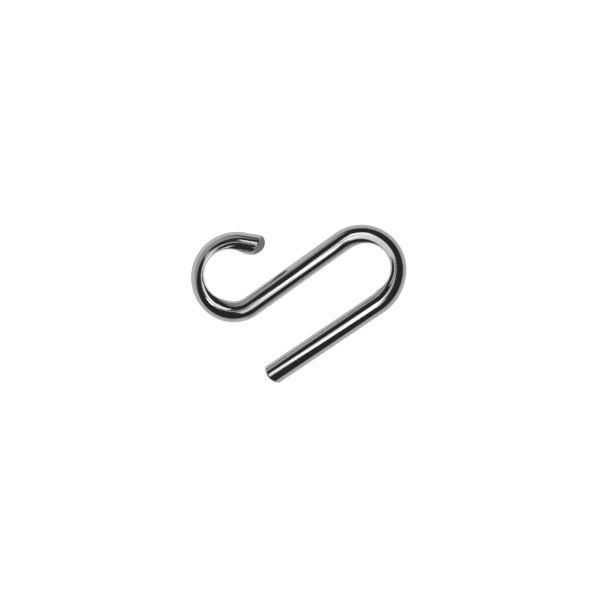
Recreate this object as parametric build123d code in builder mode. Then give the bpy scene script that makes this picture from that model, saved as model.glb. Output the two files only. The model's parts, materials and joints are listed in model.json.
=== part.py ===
from build123d import *
import math
import os

# A bright steel hook bent from one length of round wire. Seen from above it is an open S:
# a straight leg with a free end, a U-bend, a shank running back beside the leg, and an open
# eye curled outwards at the far end of the shank, ending in a short straight tip.
#
# The wire lies flat, its centreline in the plane Z = 0. The origin is the centre of the
# U-bend's crown, where the axis of a rod hung in the hook passes. +X points out of the
# U-bend along the leg, +Y from the leg towards the shank and the eye, and +Z up.
# Millimetres and degrees.

# The wire
WIRE_D = 5.0            # diameter of the drawn wire

# The centreline, from the leg's free end to the tip of the eye. Each bend has two radii,
# because the wire follows its former more closely in one half of the bend than the other.
LEG = 30.4              # straight leg, from its free end to the U-bend
U_LEAD_RADIUS = 9.8     # where the leg runs into the U-bend
U_LEAD_TURN = 52.0
U_RADIUS = 8.0          # the U-bend's crown and its far side
U_TURN = 129.6
SHANK = 25.8            # straight shank between the two bends
EYE_LEAD_RADIUS = 7.0   # where the shank runs into the eye, turning the other way
EYE_LEAD_TURN = 74.0
EYE_RADIUS = 8.2        # the rest of the eye
EYE_TURN = 151.0
TIP = 4.5               # straight tip after the eye

# The inside of each bend is pressed flat by the former pin that the wire was bent round.
# A pin's wall is upright, and its centre stands off the centre of the bend, so the flat is
# deepest at one angle, counted from +X, and dies away to both sides of it.
U_PIN_R = 5.65
U_PIN_OFFSET = 1.3
U_PIN_ANGLE = -11.0
EYE_PIN_R = 5.9
EYE_PIN_OFFSET = 2.0
EYE_PIN_ANGLE = 125.0
PRESSED_EDGE_R = 0.35   # rounding where a pressed flat meets the round of the wire

# The ends are cropped off with a slight crown, a little off the wire's axis, and tumbled. The
# crowns' radius and offsets go with the wire, as shares of its diameter.
CROWN_SHARE = 0.84
LEG_CROWN_OFFSET_SHARE = 0.08   # towards the inside of the U-bend
TIP_CROWN_OFFSET_SHARE = 0.2    # towards the outside of the eye
TIP_LEAN = 16.0         # the tip's end leans back this much, so that it looks a little upwards
END_EDGE_R = 0.35       # rounding of the tumbled edges

wire_r = WIRE_D / 2
crown_r = CROWN_SHARE * WIRE_D
leg_crown_offset = LEG_CROWN_OFFSET_SHARE * WIRE_D
tip_crown_offset = TIP_CROWN_OFFSET_SHARE * WIRE_D
pin_height = 2 * WIRE_D
tip_spare = wire_r * math.tan(math.radians(TIP_LEAN)) + END_EDGE_R   # cropped off with the end
up = Vector(0, 0, 1)

with BuildPart() as hook:
    # The round wire, drawn along its centreline
    lead_centre = Vector(U_RADIUS - U_LEAD_RADIUS, 0).rotate(Axis.Z, U_LEAD_TURN - 90)
    leg_stop = lead_centre - Vector(0, U_LEAD_RADIUS)
    with BuildLine() as centreline:
        leg = Line(leg_stop - Vector(LEG, 0), leg_stop)
        u_lead = JernArc(leg @ 1, leg % 1, U_LEAD_RADIUS, U_LEAD_TURN)
        u_bend = JernArc(u_lead @ 1, u_lead % 1, U_RADIUS, U_TURN)
        shank = PolarLine(u_bend @ 1, SHANK, direction=u_bend % 1)
        eye_lead = JernArc(shank @ 1, shank % 1, EYE_LEAD_RADIUS, -EYE_LEAD_TURN)
        eye = JernArc(eye_lead @ 1, eye_lead % 1, EYE_RADIUS, -EYE_TURN)
        tip = PolarLine(eye @ 1, TIP + tip_spare, direction=eye % 1)
    with BuildSketch(Plane(origin=leg @ 0, z_dir=leg % 0)) as section:
        Circle(wire_r)
    sweep()

    # The pressed flats inside the two bends
    for bend_centre, pin_r, offset, angle in (
        (u_bend.arc_center, U_PIN_R, U_PIN_OFFSET, U_PIN_ANGLE),
        (eye.arc_center, EYE_PIN_R, EYE_PIN_OFFSET, EYE_PIN_ANGLE),
    ):
        pin_foot = bend_centre + Vector(offset, 0).rotate(Axis.Z, angle) - up * (pin_height / 2)
        with BuildSketch(Plane(origin=pin_foot)) as pin:
            Circle(pin_r)
        extrude(amount=pin_height, mode=Mode.SUBTRACT)
    pressed = hook.faces().filter_by(GeomType.CYLINDER).filter_by(
        lambda face: face.axis_of_rotation.is_parallel(Axis.Z)
    )
    fillet(pressed.edges(), PRESSED_EDGE_R)

    # The crowned ends. A crown's axis is square to the direction that the end faces.
    for end, outward, lean, offset in (
        (leg @ 0, (leg % 0) * -1, 0, -leg_crown_offset),
        (tip @ 0 + (tip % 0) * TIP, tip % 0, TIP_LEAN, tip_crown_offset),
    ):
        tilt = math.radians(lean)
        facing = outward * math.cos(tilt) + up * math.sin(tilt)
        crown_axis = up * math.cos(tilt) - outward * math.sin(tilt)
        crown_centre = end + up.cross(outward) * offset - facing * crown_r
        with BuildSketch(Plane(origin=crown_centre, x_dir=facing, z_dir=crown_axis)) as crop:
            with Locations((crown_r / 2, 0)):
                Rectangle(crown_r, 1.5 * WIRE_D, align=(Align.MIN, Align.CENTER))
            Circle(crown_r, mode=Mode.SUBTRACT)
        extrude(amount=WIRE_D, both=True, mode=Mode.SUBTRACT)
    crowns = hook.faces().filter_by(GeomType.CYLINDER).filter_by(
        lambda face: abs((face.radius or 0) - crown_r) < 1e-4
    )
    fillet(crowns.edges(), END_EDGE_R)
hook.part.label = "hook"

os.makedirs("parts", exist_ok=True)
export_step(hook.part, "parts/hook.step")
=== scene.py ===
import json
import math

import bpy
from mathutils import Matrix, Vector


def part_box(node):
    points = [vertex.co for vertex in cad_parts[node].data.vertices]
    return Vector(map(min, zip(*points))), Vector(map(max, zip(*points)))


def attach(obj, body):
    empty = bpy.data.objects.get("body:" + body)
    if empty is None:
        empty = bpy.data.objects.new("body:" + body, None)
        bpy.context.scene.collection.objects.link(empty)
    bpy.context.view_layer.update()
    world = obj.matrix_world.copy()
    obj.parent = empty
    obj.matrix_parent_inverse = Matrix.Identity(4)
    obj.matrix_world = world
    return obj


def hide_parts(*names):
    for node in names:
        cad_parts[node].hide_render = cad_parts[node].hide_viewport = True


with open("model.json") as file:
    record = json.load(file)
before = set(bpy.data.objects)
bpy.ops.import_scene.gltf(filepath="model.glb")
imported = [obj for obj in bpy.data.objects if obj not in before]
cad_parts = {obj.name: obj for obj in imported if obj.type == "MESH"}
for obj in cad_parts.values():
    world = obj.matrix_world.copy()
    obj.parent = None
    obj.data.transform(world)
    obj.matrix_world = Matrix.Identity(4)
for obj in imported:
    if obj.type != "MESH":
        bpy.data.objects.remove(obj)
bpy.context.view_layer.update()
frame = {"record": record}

# ---------------------------------------------------------------- the hook
# One length of bright drawn steel wire, cold bent on a former: a straight leg, a U-bend, a
# shank and an open eye. The former's pins press a flat inside both bends, and both ends are
# cropped with a slight crown and tumbled.
mounts = {mount["name"]: mount for mount in frame["record"]["mounts"]}
low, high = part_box("hook")
wire_r = (high.z - low.z) / 2
u_r = high.x - wire_r
u_lead_r = 0.0098
u_lead_turn = math.radians(52.0)
u_turn = math.radians(129.6)
eye_centre = Vector(mounts["eye"]["pos_m"])
eye_lead_r = 0.0070
eye_lead_turn = math.radians(74.0)
eye_r = 0.0082
eye_turn = math.radians(151.0)
leg_length = 0.0304
tip_length = 0.0045
end_edge = 0.00035


def turned(length, angle):
    """A vector in the plane of the hook, of that length and at that angle from +X."""
    return Vector((math.cos(angle), math.sin(angle), 0)) * length


# The centreline as stations, each a point and the wire's thickness there as a share of its
# radius. The shank runs straight from the end of the U-bend to where the eye starts.
station_gap = 0.00022
fine_gap = 0.00008
fine_length = 0.0028
stations = []


def straight(start, stop, gap=station_gap):
    """Stations along a straight stretch, without its last point."""
    steps = round((stop - start).length / gap)
    for step in range(steps):
        stations.append((start.lerp(stop, step / steps), 1.0))


def bend(centre, radius, start, turn):
    """Stations round a bend, without its last point; returns where it ends."""
    steps = round(abs(turn) * radius / station_gap)
    for step in range(steps):
        stations.append((centre + turned(radius, start + turn * step / steps), 1.0))
    return centre + turned(radius, start + turn)


quarter = math.radians(90)
# Each end is rings that grow from a small cap to the full wire: the cropped face, then its edge
face_rings = 12
edge_rings = 10
cap_ring = 0.1
flat_share = 1 - end_edge / wire_r
cap_shares = [flat_share * (ring + cap_ring) / face_rings for ring in range(face_rings)]
cap_shares += [
    flat_share + (1 - flat_share) * math.sin(quarter * ring / edge_rings)
    for ring in range(edge_rings)
]
shank_heading = u_lead_turn + u_turn
eye_start = shank_heading + quarter
tip_heading = shank_heading - eye_lead_turn - eye_turn
tip_way = turned(1, tip_heading)
u_lead_centre = turned(u_r - u_lead_r, u_lead_turn - quarter)
leg_stop = u_lead_centre + turned(u_lead_r, -quarter)
leg_end = leg_stop - Vector((leg_length, 0, 0))
eye_lead_centre = eye_centre + turned(eye_r - eye_lead_r, eye_start - eye_lead_turn)
eye_entry = eye_lead_centre + turned(eye_lead_r, eye_start)
stations += [(leg_end, share) for share in cap_shares]
straight(leg_end, leg_end + Vector((fine_length, 0, 0)), fine_gap)
straight(leg_end + Vector((fine_length, 0, 0)), leg_stop)
bend(u_lead_centre, u_lead_r, -quarter, u_lead_turn)
u_end = bend(Vector((0, 0, 0)), u_r, u_lead_turn - quarter, u_turn)
straight(u_end, eye_entry)
bend(eye_lead_centre, eye_lead_r, eye_start, -eye_lead_turn)
tip_start = bend(eye_centre, eye_r, eye_start - eye_lead_turn, -eye_turn)
tip_end = tip_start + tip_way * tip_length
spare_end = tip_end + tip_way * wire_r / 2
straight(tip_start, tip_end - tip_way * fine_length)
straight(tip_end - tip_way * fine_length, spare_end, fine_gap)
stations += [(spare_end, share) for share in [1.0, *reversed(cap_shares)]]

wire_line = bpy.data.meshes.new("wire_line")
wire_line.from_pydata(
    [point for point, share in stations],
    [(index, index + 1) for index in range(len(stations) - 1)],
    [],
)
girth = wire_line.attributes.new("girth", "FLOAT", "POINT")
girth.data.foreach_set("value", [share for point, share in stations])
# How far the tumbled edge drops below the cropped face, for each share of the wire's radius
drop = wire_line.attributes.new("drop", "FLOAT", "POINT")
drop.data.foreach_set(
    "value",
    [
        end_edge * (1 - math.cos(math.asin(min(1.0, max(0.0, share - flat_share) / (1 - flat_share)))))
        for point, share in stations
    ],
)


class Socket:
    """A node's output as a number in Python arithmetic: each operator adds its Math node."""

    def __init__(self, tree, socket):
        self.tree = tree
        self.socket = socket

    @classmethod
    def node(cls, tree, kind, settings=None, inputs=None, output=0):
        """Adds one node: its settings first, then the values or links of its inputs."""
        made = tree.nodes.new(kind)
        for name, value in (settings or {}).items():
            setattr(made, name, value)
        for key, value in (inputs or {}).items():
            if isinstance(value, cls):
                tree.links.new(value.socket, made.inputs[key])
            else:
                made.inputs[key].default_value = value
        return cls(tree, made.outputs[output]) if len(made.outputs) else made

    def math(self, operation, *others):
        return self.node(
            self.tree, "ShaderNodeMath", {"operation": operation}, dict(enumerate((self, *others)))
        )

    def __add__(self, other):
        return self.math("ADD", other)

    def __sub__(self, other):
        return self.math("SUBTRACT", other)

    def __rsub__(self, other):
        return -self + other

    def __mul__(self, other):
        return self.math("MULTIPLY", other)

    def __truediv__(self, other):
        return self.math("DIVIDE", other)

    def __rtruediv__(self, other):
        return self.math("POWER", -1.0) * other

    def __pow__(self, other):
        return self.math("POWER", other)

    def __neg__(self):
        return self.math("MULTIPLY", -1.0)

    __radd__ = __add__
    __rmul__ = __mul__

    def smooth_step(self, start, end):
        """0 below start, 1 above end, and smooth between them."""
        return self.node(
            self.tree,
            "ShaderNodeMapRange",
            {"interpolation_type": "SMOOTHSTEP", "clamp": True},
            {"Value": self, "From Min": start, "From Max": end},
        )

    def parts(self):
        """The three parts of a vector."""
        made = self.tree.nodes.new("ShaderNodeSeparateXYZ")
        self.tree.links.new(self.socket, made.inputs[0])
        return [Socket(self.tree, output) for output in made.outputs]

    def joined(self, y, z):
        """A vector with this number as its first part."""
        return self.node(self.tree, "ShaderNodeCombineXYZ", None, {0: self, 1: y, 2: z})


# How the former pins, the crops and the drawing shape the wire, in metres. Each pin stands a
# little off the centre of its bend.
u_pin = turned(0.0013, math.radians(-11))
eye_pin = eye_centre + turned(0.0020, math.radians(125))
press_sizes = {
    "U pin radius": 0.00565,
    "U pin X": u_pin.x,
    "U pin Y": u_pin.y,
    "Eye pin radius": 0.0059,
    "Eye pin X": eye_pin.x,
    "Eye pin Y": eye_pin.y,
    "Pressed edge": 0.0003,
    "Wire radius": wire_r,
    "Crown radius": 0.0042,
    "Wave": 0.000003,
    "Dent": 0.00001,
}
leg_crown_offset = 0.0004
tip_crown_offset = 0.0010
tip_lean = math.radians(16.0)
crop_reach = 0.0045
crop_fade = 0.0050

press = bpy.data.node_groups.new("bent_wire", "GeometryNodeTree")
press.interface.new_socket("Geometry", in_out="INPUT", socket_type="NodeSocketGeometry")
socket_ids = {}
for name, value in press_sizes.items():
    socket = press.interface.new_socket(name, in_out="INPUT", socket_type="NodeSocketFloat")
    socket.default_value = value
    socket_ids[name] = socket.identifier
socket = press.interface.new_socket("Steel", in_out="INPUT", socket_type="NodeSocketMaterial")
socket_ids["Steel"] = socket.identifier
press.interface.new_socket("Geometry", in_out="OUTPUT", socket_type="NodeSocketGeometry")
group_in = press.nodes.new("NodeGroupInput")
group_out = press.nodes.new("NodeGroupOutput")
size = {name: Socket(press, group_in.outputs[name]) for name in (*press_sizes, "Steel")}


def add(kind, settings=None, inputs=None, output=0):
    return Socket.node(press, kind, settings, inputs, output)


def stored(geometry, name, value, kind="FLOAT"):
    """Keeps a value on the mesh's points, for the material to read."""
    return add(
        "GeometryNodeStoreNamedAttribute",
        {"data_type": kind, "domain": "POINT"},
        {"Geometry": geometry, "Name": name, "Value": value},
    )


def read(name, kind="FLOAT"):
    return add("GeometryNodeInputNamedAttribute", {"data_type": kind}, {"Name": name})


def moved(geometry, position):
    return add("GeometryNodeSetPosition", None, {"Geometry": geometry, "Position": position})


ring_sides = 120
line = add("GeometryNodeMeshToCurve", None, {"Mesh": Socket(press, group_in.outputs["Geometry"])})
line = stored(line, "run", add("GeometryNodeSplineParameter", output=1))
ring = add(
    "GeometryNodeCurvePrimitiveCircle",
    {"mode": "RADIUS"},
    {"Resolution": ring_sides, "Radius": size["Wire radius"]},
)
ring = stored(ring, "section", add("GeometryNodeInputPosition"), "FLOAT_VECTOR")
wire = add(
    "GeometryNodeCurveToMesh",
    None,
    {"Curve": line, "Profile Curve": ring, "Scale": read("girth"), "Fill Caps": True},
)

# The wire's slight waviness from drawing, and the shallow marks that the bending tool left on
# the leg and the shank, along its normals
section_y, section_z, _ = read("section", "FLOAT_VECTOR").parts()
along = read("run")
waves_along = 160
waves_across = 300
wave_place = (along * waves_along).joined(section_y * waves_across, section_z * waves_across)
wave = add(
    "ShaderNodeTexNoise",
    {"noise_dimensions": "3D"},
    {"Vector": wave_place, "Scale": 1.0, "Detail": 1.0},
)
x, y, _ = add("GeometryNodeInputPosition").parts()
shank_mark = Vector((-0.0154, 0.0077, 0))
leg_mark = Vector((-0.0046, leg_stop.y, 0))
dents = 0.0
for mark, reach in ((leg_mark, 0.0011), (shank_mark, 0.0009)):
    from_x = (x - mark.x) / reach
    from_y = (y - mark.y) / (2 * wire_r)
    dents = dents + (-(from_x * from_x + from_y * from_y)).math("EXPONENT")
normal = add("GeometryNodeInputNormal")
lift = (wave - 0.5) * size["Wave"] - dents * size["Dent"]
offset = add("ShaderNodeVectorMath", {"operation": "SCALE"}, {0: normal, "Scale": lift})
wire = add("GeometryNodeSetPosition", None, {"Geometry": wire, "Offset": offset})

# Each pin pushes what lies inside its wall out to it
for pin in ("U", "Eye"):
    x, y, z = add("GeometryNodeInputPosition").parts()
    from_x = x - size[f"{pin} pin X"]
    from_y = y - size[f"{pin} pin Y"]
    reach = (from_x * from_x + from_y * from_y) ** 0.5
    pushed = reach.math("SMOOTH_MAX", size[f"{pin} pin radius"], size["Pressed edge"]) / reach
    place = (size[f"{pin} pin X"] + from_x * pushed).joined(size[f"{pin} pin Y"] + from_y * pushed, z)
    wire = moved(wire, place)


def cropped(geometry, end, way, offset, lean):
    """Draws what lies past a crowned crop back onto it, along the wire."""
    side = Vector((-way.y, way.x, 0))
    facing = way * math.cos(lean) + Vector((0, 0, math.sin(lean)))
    apex = end + side * offset
    x, y, z = add("GeometryNodeInputPosition").parts()
    ahead = (x - apex.x) * facing.x + (y - apex.y) * facing.y + z * facing.z
    across = (x - apex.x) * side.x + (y - apex.y) * side.y
    crown_r = size["Crown radius"]
    crown = (crown_r * crown_r - across * across).math("MAXIMUM", 0.0) ** 0.5 - crown_r
    from_x = x - end.x
    from_y = y - end.y
    near = 1 - ((from_x * from_x + from_y * from_y) ** 0.5).smooth_step(crop_reach, crop_fade)
    back = (ahead - crown + read("drop")).math("MAXIMUM", 0.0) * near / math.cos(lean)
    return moved(geometry, (x - back * way.x).joined(y - back * way.y, z))


wire = cropped(wire, leg_end, Vector((-1, 0, 0)), -leg_crown_offset, 0.0)
wire = cropped(wire, tip_end, tip_way, tip_crown_offset, tip_lean)
weld_gap = 0.000002
wire = add("GeometryNodeMergeByDistance", None, {"Geometry": wire, "Distance": weld_gap})

wire = add("GeometryNodeSetShadeSmooth", None, {"Geometry": wire})
wire = add("GeometryNodeRealizeInstances", None, {"Geometry": wire})
wire = add("GeometryNodeSetMaterial", None, {"Geometry": wire, "Material": size["Steel"]})
press.links.new(wire.socket, group_out.inputs[0])

# Bright drawn steel: a near mirror with fine lines along the wire and a little polishing haze
steel = bpy.data.materials.new("bright_steel")
steel.use_nodes = True
steel.node_tree.nodes.clear()


def steel_node(kind, settings=None, inputs=None, output=0):
    return Socket.node(steel.node_tree, kind, settings, inputs, output)


section = steel_node("ShaderNodeAttribute", {"attribute_name": "section"}, output="Vector")
run = steel_node("ShaderNodeAttribute", {"attribute_name": "run"}, output="Fac")
girth_share = steel_node("ShaderNodeAttribute", {"attribute_name": "girth"}, output="Fac")
side_y, side_z, _ = section.parts()


def streaks(lengthwise, across):
    """Noise drawn out along the wire: cells per metre along it and across it."""
    place = (run * lengthwise).joined(side_y * across, side_z * across)
    return steel_node("ShaderNodeTexNoise", None, {"Vector": place, "Scale": 1.0, "Detail": 3.0})


# The cropped faces are duller and rougher than the drawn wire, up to the tumbled edge; their dark
# colour is part dull sheared steel, part painted shade
face_inner = 0.82
face_outer = 0.98
cut_face = 1 - girth_share.smooth_step(face_inner, face_outer)
draw_lines = streaks(60.0, 9000.0)
haze = streaks(300.0, 700.0)
wire_rough = 0.05
haze_rough = 0.05
line_rough = 0.03
cut_rough = 0.2
cut_dulling = 0.4
roughness = wire_rough + haze * haze_rough + draw_lines * line_rough + cut_face * cut_rough
metal_share = 1 - cut_face * cut_dulling
wire_colour = (0.60, 0.60, 0.585, 1.0)
# The cut faces' colour: dull sheared steel, darkened further with painted shade
cut_steel_and_painted_shade_colour = (0.16, 0.16, 0.165, 1.0)
tint = steel_node(
    "ShaderNodeMix",
    {"data_type": "RGBA"},
    {"Factor": cut_face, "A": wire_colour, "B": cut_steel_and_painted_shade_colour},
    output=2,
)
relief = steel_node(
    "ShaderNodeBump", None, {"Strength": 0.12, "Distance": 0.00002, "Height": draw_lines}
)
surface = steel_node(
    "ShaderNodeBsdfPrincipled",
    None,
    {"Base Color": tint, "Metallic": metal_share, "Roughness": roughness, "Normal": relief},
)
steel_out = steel.node_tree.nodes.new("ShaderNodeOutputMaterial")
steel.node_tree.links.new(surface.socket, steel_out.inputs["Surface"])

maker = bpy.data.objects.new("wire_line", wire_line)
bpy.context.scene.collection.objects.link(maker)
modifier = maker.modifiers.new("bent_wire", "NODES")
modifier.node_group = press
for name, value in press_sizes.items():
    modifier[socket_ids[name]] = value
modifier[socket_ids["Steel"]] = steel
evaluated = maker.evaluated_get(bpy.context.evaluated_depsgraph_get())
hook_mesh = bpy.data.meshes.new_from_object(evaluated)
maker.modifiers.remove(modifier)
bpy.data.objects.remove(maker)
hook = bpy.data.objects.new("bent_wire_hook", hook_mesh)
bpy.context.scene.collection.objects.link(hook)
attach(hook, "root")
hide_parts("hook")

# ---------------------------------------------------------------- the studio
# A plain white table under the hook. The camera sees it glow white, and the polished wire
# sees it glow about half as strongly.
floor_half = 1.5
paper_colour = (0.8, 0.8, 0.8, 1.0)
camera_glow = 0.96
mirror_glow = 0.5
floor_mesh = bpy.data.meshes.new("table")
floor_mesh.from_pydata(
    [(x * floor_half, y * floor_half, low.z) for x, y in ((-1, -1), (1, -1), (1, 1), (-1, 1))],
    [],
    [(0, 1, 2, 3)],
)
table_white = bpy.data.materials.new("white_table")
table_white.use_nodes = True
table_white.node_tree.nodes.clear()
paper = Socket.node(table_white.node_tree, "ShaderNodeBsdfDiffuse", None, {"Color": paper_colour})
path = table_white.node_tree.nodes.new("ShaderNodeLightPath")
seen = Socket(table_white.node_tree, path.outputs["Is Camera Ray"])
mirrored = Socket(table_white.node_tree, path.outputs["Is Glossy Ray"])
glow = Socket.node(
    table_white.node_tree,
    "ShaderNodeEmission",
    None,
    {"Color": (1.0, 1.0, 1.0, 1.0), "Strength": seen * camera_glow + mirrored * mirror_glow},
)
both = Socket.node(table_white.node_tree, "ShaderNodeAddShader", None, {0: paper, 1: glow})
table_out = table_white.node_tree.nodes.new("ShaderNodeOutputMaterial")
table_white.node_tree.links.new(both.socket, table_out.inputs["Surface"])
floor_mesh.materials.append(table_white)
table_top = bpy.data.objects.new("table_top", floor_mesh)
bpy.context.scene.collection.objects.link(table_top)

# A low white screen stands on the table all round the hook, up to 10 degrees over the
# horizon, and gives the wire its wide pale edges.
screen_sides = 72
screen_r = 0.9
screen_rise = math.radians(10)
screen_top = low.z + screen_r * math.tan(screen_rise)
screen_ring = [turned(screen_r, 2 * math.pi * step / screen_sides) for step in range(screen_sides)]
screen_mesh = bpy.data.meshes.new("screen")
screen_mesh.from_pydata(
    [(point.x, point.y, height) for height in (low.z, screen_top) for point in screen_ring],
    [],
    [
        ((step + 1) % screen_sides, step, step + screen_sides, (step + 1) % screen_sides + screen_sides)
        for step in range(screen_sides)
    ],
)
screen_mesh.materials.append(table_white)
screen = bpy.data.objects.new("white_screen", screen_mesh)
bpy.context.scene.collection.objects.link(screen)

# The room is white to the camera and nearly dark to all else, so that the polished wire has
# black bands
room_glow = 0.03
world = bpy.data.worlds.new("studio")
world.use_nodes = True
world.node_tree.nodes.clear()
path = world.node_tree.nodes.new("ShaderNodeLightPath")
seen = Socket(world.node_tree, path.outputs["Is Camera Ray"])
room = Socket.node(
    world.node_tree,
    "ShaderNodeBackground",
    None,
    {"Color": (1.0, 1.0, 1.0, 1.0), "Strength": seen * (1 - room_glow) + room_glow},
)
world_out = world.node_tree.nodes.new("ShaderNodeOutputWorld")
world.node_tree.links.new(room.socket, world_out.inputs["Surface"])
bpy.context.scene.world = world


def softbox(name, over, height, size_x, size_y, spin, radiance):
    """A flat light that faces down from above a place on the table, unseen by the camera."""
    lamp = bpy.data.lights.new(name, "AREA")
    lamp.shape = "RECTANGLE"
    lamp.size = size_x
    lamp.size_y = size_y
    lamp.energy = radiance * math.pi * size_x * size_y
    light = bpy.data.objects.new(name, lamp)
    light.location = over + Vector((0, 0, height))
    light.rotation_euler = (0, 0, math.radians(spin))
    light.visible_camera = False
    bpy.context.scene.collection.objects.link(light)


# A small box close over the gap between leg and shank draws the white line along both. Two
# windows high up, beyond the U-bend and beyond the leg, draw the second line round the bends.
# A short strip lights the eye, a long one crosses above it, and a wide grey board reaches in
# from beyond the eye.
gap_middle = Vector(((leg_end.x + leg_stop.x) / 2, leg_stop.y / 2, 0))
softbox("gap_box", gap_middle, 0.030, 0.035, 0.015, -10, 1.0)
softbox("bend_window", Vector((0.08, 0.09, 0)), 0.40, 0.10, 0.20, -30, 1.4)
softbox("leg_window", Vector((0, -0.06, 0)), 0.40, 0.05, 0.14, 15, 1.5)
softbox("eye_strip", eye_centre + Vector((-0.02, 0, 0)), 0.07, 0.015, 0.005, 0, 2.5)
softbox("grey_board", Vector((-0.15, 0.12, 0)), 0.025, 0.30, 0.20, 10, 0.4)
softbox("long_strip", eye_centre, 0.16, 0.20, 0.012, 110, 0.7)

# ---------------------------------------------------------------- the camera
# It looks straight down on the hook, turned so that the leg climbs to the right.
aim = Vector((-0.01579, 0.00213, 0))
camera_height = 0.28
frame_width = 0.1396
leg_climb = math.radians(33.95)
camera_data = bpy.data.cameras.new("camera")
camera_data.sensor_width = 36.0
camera_data.lens = camera_data.sensor_width * camera_height / frame_width
camera = bpy.data.objects.new("camera", camera_data)
camera.location = aim + Vector((0, 0, camera_height))
camera.rotation_euler = (0, 0, -leg_climb)
bpy.context.scene.collection.objects.link(camera)
bpy.context.scene.camera = camera
bpy.context.scene.view_settings.view_transform = "Standard"
